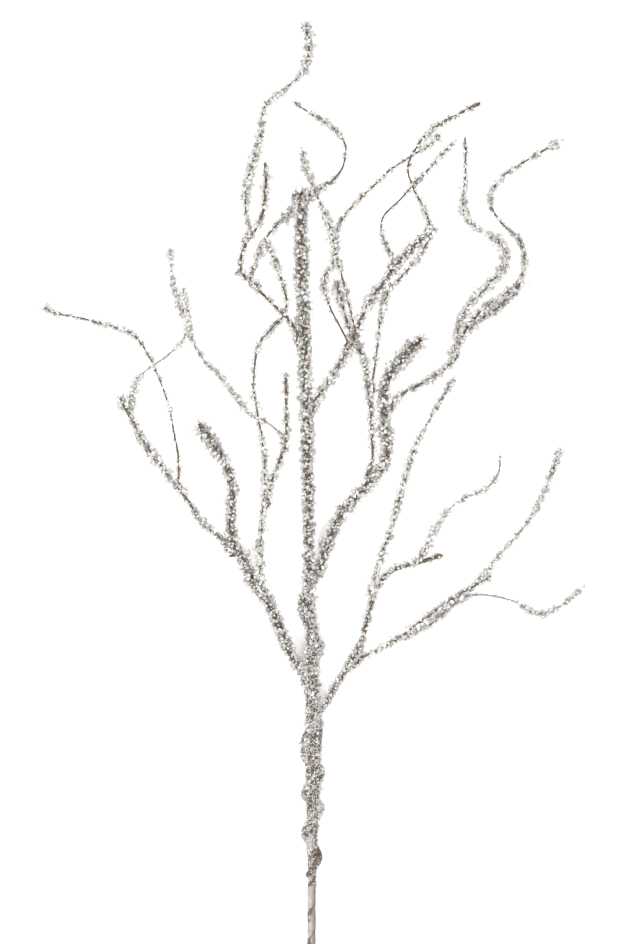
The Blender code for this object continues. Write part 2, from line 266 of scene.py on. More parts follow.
def paperGrain():
    tree, given, result = newTree("paperGrain", "ShaderNodeTree", (
        ("Place", "Vector", None), ("Fibre Scale", "Float", 2600.0), ("Blotch Scale", "Float", 420.0),
    ), (("Fibres", "Float"), ("Blotches", "Float")))
    fibres = cloud(tree, given["Place"], given["Fibre Scale"], 3.0, 0.6)
    blotches = cloud(tree, given["Place"], given["Blotch Scale"], 4.0, 0.65)
    tree.links.new(ramp(tree, fibres, 0.3, 0.7), result["Fibres"])
    tree.links.new(ramp(tree, blotches, 0.32, 0.68), result["Blotches"])
    return tree


grainGroup = paperGrain()

# pitch: metres of wire to a turn of the tape; start: how far along its first seam lies; shadedSide: the side
# that is greyed as painted shade; patch: the widest brown patch beside a seam; both are shares of a turn
tapes = {
    "whitewashedTape": {"pitch": 0.0225, "start": 0.0035, "shadedSide": 0.52, "patch": 0.42},
    "brownTape": {"pitch": 0.0090, "start": 0.0, "shadedSide": 0.0, "patch": 0.12},
}


# Paper tape wound on wire: brown, with seams, whitewashed where the wash attribute is high, and greyed on one
# side as painted shade
def woundTape(name):
    setup = tapes[name]
    material, tree, shader = newMaterial(name)
    place = objectPlace(tree)
    grain = addNode(tree, "ShaderNodeGroup", node_tree=grainGroup)
    tree.links.new(place, grain.inputs["Place"])
    fibres, blotches = grain.outputs["Fibres"], grain.outputs["Blotches"]
    # u counts metres along the wire and v turns round it
    across = addNode(tree, "ShaderNodeSeparateXYZ", {0: feed(tree, "ShaderNodeUVMap", uv_map="tape")}).outputs
    along = sums(tree, "DIVIDE", plus(tree, across[0], setup["start"]), setup["pitch"])
    wander = times(tree, minus(tree, blotches, 0.5), 0.08)
    turn = sums(tree, "FRACT", plus(tree, minus(tree, along, across[1]), wander))
    width = ramp(tree, cloud(tree, place, 1.6 / setup["pitch"], 1.0), 0.42, 0.60, 0.05, setup["patch"])
    patch = ramp(tree, minus(tree, width, turn), -0.02, 0.04)
    seam = sums(tree, "MAXIMUM", patch, ramp(tree, turn, 0.95, 1.0))
    # painted shade: the whitewash is greyed towards one side of the wire, standing in for the side away from
    # the light
    shadeFacing = sums(tree, "COSINE", times(tree, minus(tree, across[1], setup["shadedSide"]), math.tau))
    worn = ramp(tree, plus(tree, carriedMask(tree, "wash"), times(tree, blotches, 0.55)), 0.62, 0.98)
    brown = mixColour(tree, blotches, "darkPaper", "brownPaper")
    brown = mixColour(tree, times(tree, fibres, 0.15), brown, "greyPaper")
    white = mixColour(tree, times(tree, fibres, 0.45), "whitewash", "greyPaper")
    white = mixColour(tree, times(tree, blotches, 0.35), white, "greyPaper")
    drawn = feed(tree, "ShaderNodeVectorMath", {0: place, 1: (1.0, 0.1, 1.0)}, operation="MULTIPLY")
    white = mixColour(tree, ramp(tree, cloud(tree, drawn, 900.0), 0.46, 0.62, 0.0, 0.60), white, "greyPaper")
    # painted shade: the whitewash on the shaded side turns towards grey paper
    white = mixColour(tree, ramp(tree, shadeFacing, -0.25, 0.85, 0.0, 0.95), white, "greyPaper")
    colour = mixColour(tree, times(tree, seam, 0.9), mixColour(tree, worn, brown, white), "seamBrown")
    tree.links.new(colour, shader["Base Color"])
    tree.links.new(ramp(tree, fibres, 0.0, 1.0, 0.62, 0.86), shader["Roughness"])
    height = minus(tree, times(tree, fibres, 0.4), seam)
    tree.links.new(bumpOf(tree, height, 0.5, 0.00025), shader["Normal"])
    return material


def chipTone():
    tree, given, result = newTree("chipTone", "ShaderNodeTree", (
        ("Tone", "Float", 0.5), ("Middle", "Color", finishes["clearIce"]),
        ("Dark", "Color", finishes["smokyIce"]), ("Bright", "Color", finishes["whiteSparkleIce"]),
        ("Smooth", "Float", 0.05), ("Rough", "Float", 0.3),
    ), (("Colour", "Color"), ("Roughness", "Float")))
    place = objectPlace(tree)
    patchy = ramp(tree, cloud(tree, place, 500.0), 0.35, 0.65, -0.2, 0.2)
    amount = ramp(tree, plus(tree, given["Tone"], patchy), 0.1, 0.9)
    colour = mixColour(tree, amount, given["Dark"], given["Middle"])
    # the few brightest chips take a near-white colour: painted sparkles that stand in for glints
    colour = mixColour(tree, ramp(tree, given["Tone"], 0.93, 0.94), colour, given["Bright"])
    tree.links.new(colour, result["Colour"])
    frost = cloud(tree, place, 1800.0)
    tree.links.new(ramp(tree, frost, 0.35, 0.65, given["Smooth"], given["Rough"]), result["Roughness"])
    return tree


toneGroup = chipTone()

# clear: how much light goes through; bend: a low one shows the wire inside; smooth and rough: the roughness
ices = {
    "clearIce": {"Middle": "clearIce", "Dark": "smokyIce", "Bright": "clearIce",
                 "Smooth": 0.05, "Rough": 0.22, "clear": 0.90, "bend": 1.14},
    "milkyIce": {"Middle": "milkyIce", "Dark": "greyIce", "Bright": "whiteSparkleIce",
                 "Smooth": 0.20, "Rough": 0.45, "clear": 0.35, "bend": 1.18},
}


# hard glints, from the coat, on the outside of a softly bending, glued-in chip
def iceMaterial(name):
    setup = ices[name]
    material, tree, shader = newMaterial(name, {
        "Transmission Weight": setup["clear"], "IOR": setup["bend"],
        "Coat Weight": 1.0, "Coat Roughness": 0.04, "Coat IOR": 1.5})
    group = addNode(tree, "ShaderNodeGroup", node_tree=toneGroup)
    for label in ("Middle", "Dark", "Bright", "Smooth", "Rough"):
        group.inputs[label].default_value = finishes.get(setup[label], setup[label])
    tree.links.new(carriedMask(tree, "tone"), group.inputs["Tone"])
    tree.links.new(group.outputs["Colour"], shader["Base Color"])
    tree.links.new(group.outputs["Roughness"], shader["Roughness"])
    return material


stemTape = woundTape("whitewashedTape")
twigTape = woundTape("brownTape")
clearIce = iceMaterial("clearIce")
milkyIce = iceMaterial("milkyIce")
print("finishes are made")


# Ice chips: small crushed blocks, kept in a collection that instances draw from

# half: half a block's side; ball: a lump's radius; flat: least and most stretch along an axis
chipShapes = {"blocks": 4, "lumps": 4, "half": 0.36, "ball": 0.52, "jitter": 0.13, "flat": (0.72, 1.2),
              "seed": 41}


def makeChips(setup):
    chips = bpy.data.collections.new("iceChips")
    bpy.context.scene.collection.children.link(chips)
    dice = random.Random(setup["seed"])
    cube = [Vector([1 if corner >> axis & 1 else -1 for axis in range(3)]) * setup["half"]
            for corner in range(8)]
    build = bmesh.new()
    bmesh.ops.create_icosphere(build, subdivisions=1, radius=setup["ball"])
    ball = [corner.co.copy() for corner in build.verts]
    build.free()
    for kind in range(setup["blocks"] + setup["lumps"]):
        rounded = kind >= setup["blocks"]
        build = bmesh.new()
        flat = [dice.uniform(*setup["flat"]) for axis in range(3)]
        for corner in ball if rounded else cube:
            build.verts.new([(place + dice.uniform(-1, 1) * setup["jitter"]) * share
                             for place, share in zip(corner, flat)])
        hull = bmesh.ops.convex_hull(build, input=build.verts)
        bmesh.ops.delete(build, geom=list(set(hull["geom_unused"] + hull["geom_interior"])), context="VERTS")
        bmesh.ops.recalc_face_normals(build, faces=build.faces)
        for face in build.faces:
            face.smooth = rounded
        name = f"chipShape{kind}"
        chips.objects.link(bpy.data.objects.new(name, meshFrom(build, name)))
    return chips


chipCollection = makeChips(chipShapes)


# Geometry Nodes helpers

# an attribute of the path: wire, coat, chip, wash or grit
def named(tree, name):
    return feed(tree, "GeometryNodeInputNamedAttribute", {"Name": name})


def store(tree, geometry, name, value, **settings):
    sockets = {"Geometry": geometry, "Name": name, "Value": value}
    return feed(tree, "GeometryNodeStoreNamedAttribute", sockets, **settings)


def partsOf(tree, vector):
    return addNode(tree, "ShaderNodeSeparateXYZ", {0: vector}).outputs


def herePlace(tree):
    return feed(tree, "GeometryNodeInputPosition")


def pushed(tree, geometry, direction, distance):
    offset = feed(tree, "ShaderNodeVectorMath", {0: direction, "Scale": distance}, operation="SCALE")
    return feed(tree, "GeometryNodeSetPosition", {"Geometry": geometry, "Offset": offset})


def aboveFloor(tree, geometry):
    x, y, z = partsOf(tree, herePlace(tree))
    lifted = feed(tree, "ShaderNodeCombineXYZ", {0: x, 1: y, 2: sums(tree, "MAXIMUM", z, floorGap)})
    return feed(tree, "GeometryNodeSetPosition", {"Geometry": geometry, "Position": lifted})


def lessThan(tree, first, second):
    return feed(tree, "FunctionNodeCompare", {0: first, 1: second}, data_type="FLOAT", operation="LESS_THAN")


# Geometry Nodes: a wire wound with tape, from an edge path that carries its radii
def tapedWireTree():
    tree, given, result = newTree("tapedWire", "GeometryNodeTree", (
        ("Geometry", "Geometry", None), ("Ring Spacing", "Float", 0.0012), ("Sides", "Int", 12),
        ("Tape Pitch", "Float", 0.02), ("Tape Step", "Float", 0.0002), ("Lumps", "Float", 0.0001),
        ("Finish", "Material", None),
    ), (("Geometry", "Geometry"),))
    path = feed(tree, "GeometryNodeMeshToCurve", {0: given["Geometry"]})
    path = feed(tree, "GeometryNodeResampleCurve", {"Curve": path, "Length": given["Ring Spacing"]},
                mode="LENGTH")
    along = addNode(tree, "GeometryNodeCaptureAttribute", {0: path})
    along.capture_items.new("FLOAT", "along")
    tree.links.new(addNode(tree, "GeometryNodeSplineParameter").outputs["Length"], along.inputs[1])
    arc = feed(tree, "GeometryNodeCurveArc", {
        "Resolution": plus(tree, given["Sides"], 1.0), "Radius": 1.0, "Sweep Angle": math.tau}, mode="RADIUS")
    spoke = addNode(tree, "GeometryNodeCaptureAttribute", {0: arc})
    spoke.capture_items.new("FLOAT", "round")
    spoke.capture_items.new("VECTOR", "spoke")
    tree.links.new(feed(tree, "GeometryNodeSplineParameter"), spoke.inputs[1])
    tree.links.new(herePlace(tree), spoke.inputs[2])
    tube = feed(tree, "GeometryNodeCurveToMesh", {
        "Curve": along.outputs[0], "Profile Curve": spoke.outputs[0], "Scale": named(tree, "wire"),
        "Fill Caps": True})
    uv = feed(tree, "ShaderNodeCombineXYZ", {0: along.outputs[1], 1: spoke.outputs[1]})
    tube = store(tree, tube, "tape", uv, data_type="FLOAT2", domain="CORNER")
    tube = feed(tree, "GeometryNodeMergeByDistance", {"Geometry": tube, "Distance": 0.00001})
    # the tape's edge is a low ridge that winds along
    x, y, z = partsOf(tree, spoke.outputs[2])
    angle = sums(tree, "DIVIDE", sums(tree, "ARCTAN2", y, x), math.tau)
    turn = minus(tree, sums(tree, "DIVIDE", along.outputs[1], given["Tape Pitch"]), angle)
    ridge = times(tree, sums(tree, "FRACT", turn), given["Tape Step"])
    lump = ramp(tree, cloud(tree, herePlace(tree), 240.0, 1.0), 0.3, 0.7, -1.0, 1.0)
    rise = times(tree, plus(tree, ridge, times(tree, lump, given["Lumps"])),
                 ramp(tree, named(tree, "wire"), 0.0001, 0.0005))
    tube = aboveFloor(tree, pushed(tree, tube, feed(tree, "GeometryNodeInputNormal"), rise))
    tube = feed(tree, "GeometryNodeSetShadeSmooth", {"Geometry": tube})
    tube = feed(tree, "GeometryNodeRealizeInstances", {"Geometry": tube})
    tube = feed(tree, "GeometryNodeSetMaterial", {"Geometry": tube, "Material": given["Finish"]})
    tree.links.new(tube, result["Geometry"])
    return tree


# A coat of ice chips over a wire, in up to three layers where the coat is thick
iceCoat = {
    # attribute, least, gain, how far out in chip sizes, share of the spacing, share of the size
    "layers": (("coat", 0.0, 1.25, 0.22, 1.0, 1.0), ("coat", 0.37, 1.5, 0.68, 1.0, 1.0),
               ("coat", 1.0, 1.8, 1.15, 1.0, 1.0), ("grit", 0.0, 1.0, 0.20, 0.60, 0.60)),
    "density": 4.0e6,           # most chips on a square metre
    "clumping": 0.42,           # how far the coat's thickness swings
    "topEdge": (0.55, 0.90),    # the upward slant at which the coat starts and ends thinning
    "sizes": (0.66, 1.30),      # least and most, as shares of the stem's chip size
    "sizePower": 1.5,           # higher makes more of them small
    "swell": 1.7,               # how much further out the chips of a thick clump stand
    "rest": 0.38,               # chips whose middle is lower than this share of their size are left out
    "gritTone": 1.8,            # higher is darker
    "gritMilky": 0.20,
    # tones above which a chip is milky and painted near white as a sparkle
    "sparkleTones": (0.930, 0.935),
}


# Geometry Nodes: the coat
def iceCoatTree(setup):
    tree, given, result = newTree("iceCoat", "GeometryNodeTree", (
        ("Geometry", "Geometry", None), ("Spacing", "Float", 0.0013), ("Clump Size", "Float", 0.006),
        ("Seed", "Int", 0), ("Chips", "Collection", None), ("Clear", "Material", None),
        ("Milky", "Material", None), ("Milky Share", "Float", 0.3), ("Top Share", "Float", 1.0),
    ), (("Geometry", "Geometry"),))
    place = herePlace(tree)
    swing = feed(tree, "ShaderNodeTexNoise", {
        "Vector": place, "W": times(tree, given["Seed"], 7.31), "Detail": 1.0,
        "Scale": sums(tree, "DIVIDE", 1.0, given["Clump Size"])}, noise_dimensions="4D")
    coat = named(tree, "coat")
    clump = ramp(tree, swing, 0.3, 0.7, -setup["clumping"], setup["clumping"])
    clump = times(tree, clump, ramp(tree, coat, 0.0, 0.3))
    # a thinner coat along the top lets the dark core show
    upward = partsOf(tree, feed(tree, "GeometryNodeInputNormal"))[2]
    thinned = ramp(tree, upward, *setup["topEdge"], 1.0, given["Top Share"])
    layers = []
    for order, (label, least, gain, reach, spacing, share) in enumerate(setup["layers"]):
        amount = plus(tree, coat, clump) if label == "coat" else named(tree, label)
        amount = sums(tree, "MULTIPLY", minus(tree, amount, least), gain, use_clamp=True)
        if label == "coat":
            amount = times(tree, amount, thinned)
        spread = addNode(tree, "GeometryNodeDistributePointsOnFaces", {
            "Mesh": given["Geometry"], "Distance Min": times(tree, given["Spacing"], spacing),
            "Density Max": setup["density"], "Density Factor": amount,
            "Seed": plus(tree, given["Seed"], 100.0 * order)}, distribute_method="POISSON")
        dice = addNode(tree, "FunctionNodeRandomValue", {2: 0.0, 3: 1.0, "Seed": 11 + order}).outputs[1]
        smallest, largest = (limit * share for limit in setup["sizes"])
        size = ramp(tree, sums(tree, "POWER", dice, setup["sizePower"]), 0.0, 1.0, smallest, largest)
        points = store(tree, spread.outputs[0], "size", times(tree, size, named(tree, "chip")))
        swell = ramp(tree, coat, 1.0, 2.0, 1.0, setup["swell"])
        away = times(tree, times(tree, named(tree, "size"), swell), reach)
        layers.append(pushed(tree, points, spread.outputs["Normal"], away))
    joined = addNode(tree, "GeometryNodeJoinGeometry")
    for layer in layers[::-1]:
        tree.links.new(layer, joined.inputs[0])
    low = lessThan(tree, partsOf(tree, place)[2], times(tree, named(tree, "size"), setup["rest"]))
    points = feed(tree, "GeometryNodeDeleteGeometry", {"Geometry": joined.outputs[0], "Selection": low})
    source = feed(tree, "GeometryNodeCollectionInfo", {
        "Collection": given["Chips"], "Separate Children": True, "Reset Children": True})
    kinds = len(chipCollection.objects) - 1
    kind = addNode(tree, "FunctionNodeRandomValue", {4: 0, 5: kinds, "Seed": 3}, data_type="INT").outputs[2]
    turn = feed(tree, "FunctionNodeRandomValue", {0: (0, 0, 0), 1: (math.tau, math.tau, math.tau), "Seed": 5},
                data_type="FLOAT_VECTOR")
    coat = feed(tree, "GeometryNodeInstanceOnPoints", {
        "Points": points, "Instance": source, "Pick Instance": True, "Instance Index": kind,
        "Rotation": feed(tree, "FunctionNodeEulerToRotation", {0: turn}), "Scale": named(tree, "size")})
    tone = addNode(tree, "FunctionNodeRandomValue", {2: 0.0, 3: 1.0, "Seed": 23}).outputs[1]
    tone = sums(tree, "POWER", tone, ramp(tree, named(tree, "grit"), 0.0, 1.0, 1.0, setup["gritTone"]))
    coat = store(tree, coat, "tone", tone, domain="INSTANCE")
    number = feed(tree, "GeometryNodeInputIndex")
    coat = store(tree, coat, "number", number, domain="INSTANCE", data_type="INT")
    coat = aboveFloor(tree, feed(tree, "GeometryNodeRealizeInstances", {"Geometry": coat}))
    coat = feed(tree, "GeometryNodeSetMaterial", {"Geometry": coat, "Material": given["Clear"]})
    # the whitest chips, painted near white as sparkles, and more of the grit are milky
    dice = sums(tree, "FRACT", times(tree, named(tree, "tone"), 7.0))
    dice = minus(tree, dice, ramp(tree, named(tree, "tone"), *setup["sparkleTones"]))
    share = plus(tree, given["Milky Share"], times(tree, named(tree, "grit"), setup["gritMilky"]))
    coat = feed(tree, "GeometryNodeSetMaterial", {
        "Geometry": coat, "Selection": lessThan(tree, dice, share), "Material": given["Milky"]})
    tree.links.new(coat, result["Geometry"])
    return tree


wireTree = tapedWireTree()
coatTree = iceCoatTree(iceCoat)


def runTree(name, mesh, tree, values):
    source = addObject(name + "Source", mesh)
    nodes = source.modifiers.new("nodes", "NODES")
    nodes.node_group = tree
    for item in tree.interface.items_tree:
        if item.in_out == "INPUT" and item.name in values:
            nodes[item.identifier] = values[item.name]
    bpy.context.view_layer.update()
    made = bpy.data.meshes.new_from_object(source.evaluated_get(bpy.context.evaluated_depsgraph_get()))
    bpy.data.objects.remove(source)
    made.name = name
    return addObject(name, made)


# Routes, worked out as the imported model's are

def blendThrough(points, amount, index):
    before = points[max(index - 1, 0)]
    start = points[index]
    end = points[index + 1]
    after = points[min(index + 2, len(points) - 1)]
    square = amount * amount
    cube = square * amount
    return (start * 2 + (end - before) * amount + (before * 2 - start * 5 + end * 4 - after) * square
            + (start * 3 - before - end * 3 + after) * cube) * 0.5


# the small steps between the points: index of the point before, part, number of parts
def smallSteps(points, step):
    for index in range(len(points) - 1):
        count = max(1, round((points[index + 1].xyz - points[index].xyz).length / step))
        yield from ((index, part, count) for part in range(count))


def smoothRoute(points, step):
    route = [blendThrough(points, part / count, index) for index, part, count in smallSteps(points, step)]
    return route + [points[-1].copy()]


# smoothRoute's points, as marks between the route's own points
def smoothMarks(points, marks, step):
    found = [marks[index] + (marks[index + 1] - marks[index]) * part / count
             for index, part, count in smallSteps(points, step)]
    return found + [marks[-1]]


def nearestOn(route, point):
    best = (1e9, 0.0)
    for index in range(len(route) - 1):
        start = route[index].xyz
        run = route[index + 1].xyz - start
        along = min(max((point - start).dot(run) / run.length_squared, 0.0), 1.0)
        best = min(best, ((point - start - run * along).length, index + along))
    return best[1]


def pointOn(route, place):
    index = min(int(place), len(route) - 2)
    return route[index].lerp(route[index + 1], place - index)


def directionOn(route, place):
    index = min(int(place), len(route) - 2)
    return (route[index + 1].xyz - route[index].xyz).normalized()


def beside(route, place, towards, radius):
    carrier = pointOn(route, place)
    along = directionOn(route, place)
    side = towards - carrier.xyz
    side -= along * side.dot(along)
    centre = carrier.xyz + side.normalized() * (carrier.w + radius + seatGap)
    return Vector((*centre, radius))


def stepAlong(route, place, distance):
    lastPlace = len(route) - 1.01
    travelled = 0.0
    while travelled < distance and place < lastPlace:
        nextPlace = min(place + 0.1, lastPlace)
        travelled += (pointOn(route, nextPlace).xyz - pointOn(route, place).xyz).length
        place = nextPlace
    return place


def seatBase(points, parent, overlap, baseRadius):
    towards = points[-1].xyz
    place = nearestOn(parent, towards)
    seats = [beside(parent, place, towards, baseRadius)]
    runs = max(1, round(overlap / seatStep))
    for run in range(1, runs + 1):
        offset = seats[-1].xyz - pointOn(parent, place).xyz
        place = stepAlong(parent, place, overlap / runs)
        towards = pointOn(parent, place).xyz + offset
        seats.append(beside(parent, place, towards, baseRadius * (1.0 - 0.2 * run / runs)))
    return points[:-1] + seats


def roundTip(route):
    tip = route[0]
    inward = (route[1].xyz - tip.xyz).normalized()
    dome = [Vector((*(tip.xyz + inward * (tip.w * depth)), tip.w * width))
            for depth, width in ((0.0, 0.45), (0.3, 0.82), (0.95, 1.0))]
    return dome + [point for point in route[1:] if (point.xyz - tip.xyz).length > tip.w * 1.6]


# turns lists (y, turn, coat), with the turn 0 on the right, 0.25 on top and 0.5 on the left
def woundPoints(stem, turns, radius):
    windingLength = math.tau * (twistRadius + radius)
    knots = [Vector(turn[:2]) for turn in turns]
    strand, marks = [], []
    for index in range(len(knots) - 1):
        rise = abs(knots[index + 1].x - knots[index].x)
        sweep = abs(knots[index + 1].y - knots[index].y) * windingLength
        count = max(1, round(math.hypot(rise, sweep) / fineStep))
        strand += [blendThrough(knots, part / count, index) for part in range(count)]
        marks += [index + part / count for part in range(count)]
    points = []
    for knot in strand + [knots[-1]]:
        carrier = pointOn(stem, nearestOn(stem, Vector((0.0, knot.x, twistHeight))))
        angle = knot.y * math.tau
        reach = (carrier.w + radius + seatGap) * hug
        centre = carrier.xyz + Vector((math.cos(angle) * reach, 0.0, math.sin(angle) * reach))
        points.append(Vector((*centre, radius)))
    return points, marks + [len(knots) - 1]


def taperEnd(points, count, least):
    for order in range(count):
        points[-1 - order].w *= least + (1.0 - least) * order / count
    return points


def withRadii(centres, tipRadius, radius, baseRadius):
    points = []
    last = len(centres) - 1
    for index, centre in enumerate(centres):
        share = max(index - 1, 0) / max(last - 1, 1)
        width = tipRadius if index == 0 else radius + (baseRadius - radius) * share
        points.append(Vector((*centre[:3], width)))
    return points


# A stem from its route: the taped wire and its coat of ice

carried = ("wire", "coat", "chip", "wash", "grit")
pathMake = {
    "inset": 0.8,               # how far inside the coat a wire's tip stops, where its piece doesn't say
    "beadPlace": 3.0,
    "beadLength": 2.2,
    "waverScale": 0.09,         # higher wanders quicker
    "waverShift": 3.7,          # keeps the stems' wandering apart
    "waverFade": 12.0,          # length at the base over which the wandering dies away
    "point": 0.001,             # radius of a pointed end
    "spurWidths": (0.6, 0.55, 0.5, 0.3),
    "spurCarries": (1.0, 2.4, 0.1, 0.0),
}


# a number, or a tuple with a value for each of the route's points
def valueAt(values, mark):
    if not isinstance(values, tuple):
        return values
    index = min(int(mark), len(values) - 2)
    amount = min(mark - index, 1.0)
    return values[index] + (values[index + 1] - values[index]) * amount


# an edge path down the middle of a stem, tip first, that carries the wire's radius and the coat's sizes
def wirePath(name, points, marks, piece):
    fine = smoothRoute(points, visualStep)
    fineMarks = smoothMarks(points, marks, visualStep)
    lengths = [0.0]
    for before, after in zip(fine, fine[1:]):
        lengths.append(lengths[-1] + (after.xyz - before.xyz).length)
    total = lengths[-1]
    inset = piece.get("inset", pathMake["inset"])
    centres, rows = [], []
    for point, mark, length in zip(fine, fineMarks, lengths):
        if length < inset:
            continue
        row = [valueAt(piece[label], mark) for label in carried]
        dome = 1.0 - min((length - inset) / row[0], 1.0)
        row[0] *= math.sqrt(max(0.0, 1.0 - dome * dome))
        offBead = (length - pathMake["beadPlace"]) / pathMake["beadLength"]
        row[0] = max(row[0], piece.get("bead", 0.0) * math.exp(-offBead ** 2))
        shift = Vector((0, 0, piece["seed"] * pathMake["waverShift"]))
        bend = noise.noise_vector(point.xyz * pathMake["waverScale"] + shift)
        fade = min(1.0, (total - length) / pathMake["waverFade"])
        centres.append(point.xyz + bend * piece["waver"] * fade)
        rows.append(row)
    if "into" in piece:                     # the base runs on into what carries it
        centres.append(Vector(piece["into"]))
        rows.append(list(rows[-1]))
    rows[0][0] = pathMake["point"]
    if not piece.get("cut"):
        rows[-1][0] = pathMake["point"]
    edges = [(i, i + 1) for i in range(len(centres) - 1)]
    # spurs: where each ends, and how far it rises
    for x, y, rise in piece.get("spurs", ()):
        near = min(range(len(edges)), key=lambda i: (centres[i].xy - Vector((x, y))).length)
        foot = centres[near].copy()
        end = Vector((x, y, foot.z + rise))
        for part, width in enumerate(pathMake["spurWidths"]):
            if part:
                edges.append((len(centres) - 1, len(centres)))
            centres.append(foot.lerp(end, part / 3))
            rows.append([width, *pathMake["spurCarries"]])
    mesh = bpy.data.meshes.new(name + "Path")
    mesh.from_pydata([(centre - origin) * mm for centre in centres], edges, [])
    for column, label in enumerate(carried):
        attribute = mesh.attributes.new(label, "FLOAT", "POINT")
        scale = mm if label in ("wire", "chip") else 1.0
        attribute.data.foreach_set("value", [row[column] * scale for row in rows])
    return mesh


def readAll(items, label, count, kind=float):
    values = np.zeros(count, kind)
    items.foreach_get(label, values)
    return values


def bakeMap(mesh, places):
    mesh.uv_layers.new(name="OFBake", do_init=False).data.foreach_set("uv", places.ravel())


mapMake = {"rowLength": 0.01, "wireMargin": 0.04, "chipMargin": 0.08}


# lays the wire out in rows of the map, one under the other
def mapWire(mesh):
    corners = readAll(mesh.attributes["tape"].data, "vector", len(mesh.loops) * 2).reshape(-1, 2)
    starts = readAll(mesh.polygons, "loop_start", len(mesh.polygons), int)
    counts = readAll(mesh.polygons, "loop_total", len(mesh.polygons), int)
    middle = np.add.reduceat(corners[:, 0], starts) / counts
    total = corners[:, 0].max()
    rows = max(1, round(math.sqrt(total / mapMake["rowLength"])))
    row = np.repeat(np.minimum(middle / total * rows, rows - 1).astype(int), counts)
    across = np.clip(corners[:, 0] / total * rows - row, 0, 1)
    margin = mapMake["wireMargin"]
    bakeMap(mesh, np.stack([across, (row + margin + (1 - margin * 2) * corners[:, 1]) / rows], 1))


# gives each chip a cell of the map
def mapChips(mesh):
    numbers = readAll(mesh.attributes["number"].data, "value", len(mesh.vertices), int)
    cells = numbers[readAll(mesh.loops, "vertex_index", len(mesh.loops), int)]
    side = max(1, math.ceil(math.sqrt(cells.max() + 1)))
    low, high = mapMake["chipMargin"], 1 - mapMake["chipMargin"]
    spots = np.array(((low, low), (high, low), (0.5, high)))[np.arange(len(mesh.loops)) % 3]
    bakeMap(mesh, (np.stack([cells % side, cells // side], 1) + spots) / side)


def keepOnly(mesh, *names):
    for label in [item.name for item in mesh.attributes]:
        attribute = mesh.attributes[label]
        if not (attribute.is_required or attribute.is_internal or label in names):
            mesh.attributes.remove(attribute)


def placePiece(piece, node):
    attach(piece, "root")
    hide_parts(node)


# the taped wire's make on thick stems and on twigs; its size names are the tree's inputs
thickWire = {"Ring Spacing": 0.0012, "Sides": 20, "Tape Pitch": 0.009, "Tape Step": 0.00022, "Lumps": 0.00018}
twigWire = {"Ring Spacing": 0.0013, "Sides": 10, "Tape Pitch": 0.009, "Tape Step": 0.0001, "Lumps": 0.00008}


def makeStem(name, points, marks, piece):
    rows = (*piece.get("points", ()), *piece.get("turns", ()))
    piece = {**piece, "coat": tuple(row[-1] for row in rows)}
    made = dict(thickWire if valueAt(piece["wire"], 0) > 1.0 else twigWire, Finish=twigTape)
    if piece["slot"] == "wrapped_stem":
        made.update({"Tape Pitch": tapes["whitewashedTape"]["pitch"], "Finish": stemTape})
    wire = runTree(name + "_wire", wirePath(name, points, marks, piece), wireTree, made)
    ice = runTree(name + "_ice", wire.data.copy(), coatTree, {
        "Spacing": piece["spacing"] * mm, "Clump Size": piece["clump"] * mm, "Seed": piece["seed"],
        "Chips": chipCollection, "Clear": clearIce, "Milky": milkyIce, "Milky Share": piece["milky"],
        "Top Share": piece["top"]})
    mapWire(wire.data)
    mapChips(ice.data)
    keepOnly(wire.data, "tape", "wash", "OFBake", "material_index", "sharp_face")
    keepOnly(ice.data, "tone", "OFBake", "material_index", "sharp_face")
    placePiece(wire, name)
    placePiece(ice, name)
    print(name, "wire", len(wire.data.polygons), "ice", len(ice.data.polygons))


def grow(name, parent, piece, overlap=9.0):
    points = seatBase(withRadii(piece["points"], *piece["radii"]), parent, overlap, piece["radii"][2])
    end = points[-1].xyz
    carrier = pointOn(parent, nearestOn(parent, end)).xyz
    makeStem(name, points, range(len(points)), {**piece, "into": end.lerp(carrier, 0.6)})
    return roundTip(smoothRoute(points, coarseStep))


# What a piece's dictionary says, in millimetres. A tuple has a value for each point, tip first (the main
# stem's from its cut end), and the last one holds for the rest.
# points: x, y, height (and the main stem's packed radius), coat; turns: how its base winds round the stem
# radii: of the imported solid at the tip, behind it and at the base; seed: of its chips and its wandering
# wire: the taped wire's radius; bead: radius of the knob at its tip; waver: how far the wire wanders
# coat: how thick the ice lies, 0 bare, 1 full, 2 a clump; chip: size of the chips; spacing: between them
# clump: length of the thick and thin stretches; milky: share of frosted chips; top: share left along the top
# grit: share of small gritty chips; wash: how white the tape is; spurs: x, y, rise of short side ends
# inset: how far inside the coat the wire's tip stops; cut: the base shows a cut end; slot: a label, where
# wrapped_stem takes the whitewashed tape
thickLook = {"slot": "iced_stem", "radii": (4.6, 4.5, 4.4), "wire": 2.2, "chip": 2.8, "spacing": 2.0,
             "clump": 8.0, "milky": 0.44, "wash": 0.18, "grit": 0.0, "top": 0.75, "waver": 0.4}
shootLook = {"slot": "iced_stem", "radii": (3.2, 3.0, 2.8), "wire": 1.05, "chip": 2.6, "spacing": 1.6,
             "clump": 6.0, "milky": 0.58, "wash": 0.22, "grit": 0.0, "top": 0.75, "waver": 0.4}
twigLook = {"slot": "iced_twig", "radii": (1.9, 1.25, 1.25), "wire": 0.72, "chip": 2.6, "spacing": 1.17,
            "clump": 5.0, "milky": 0.66, "wash": 0.2, "grit": 0.0, "top": 0.6, "waver": 0.4}

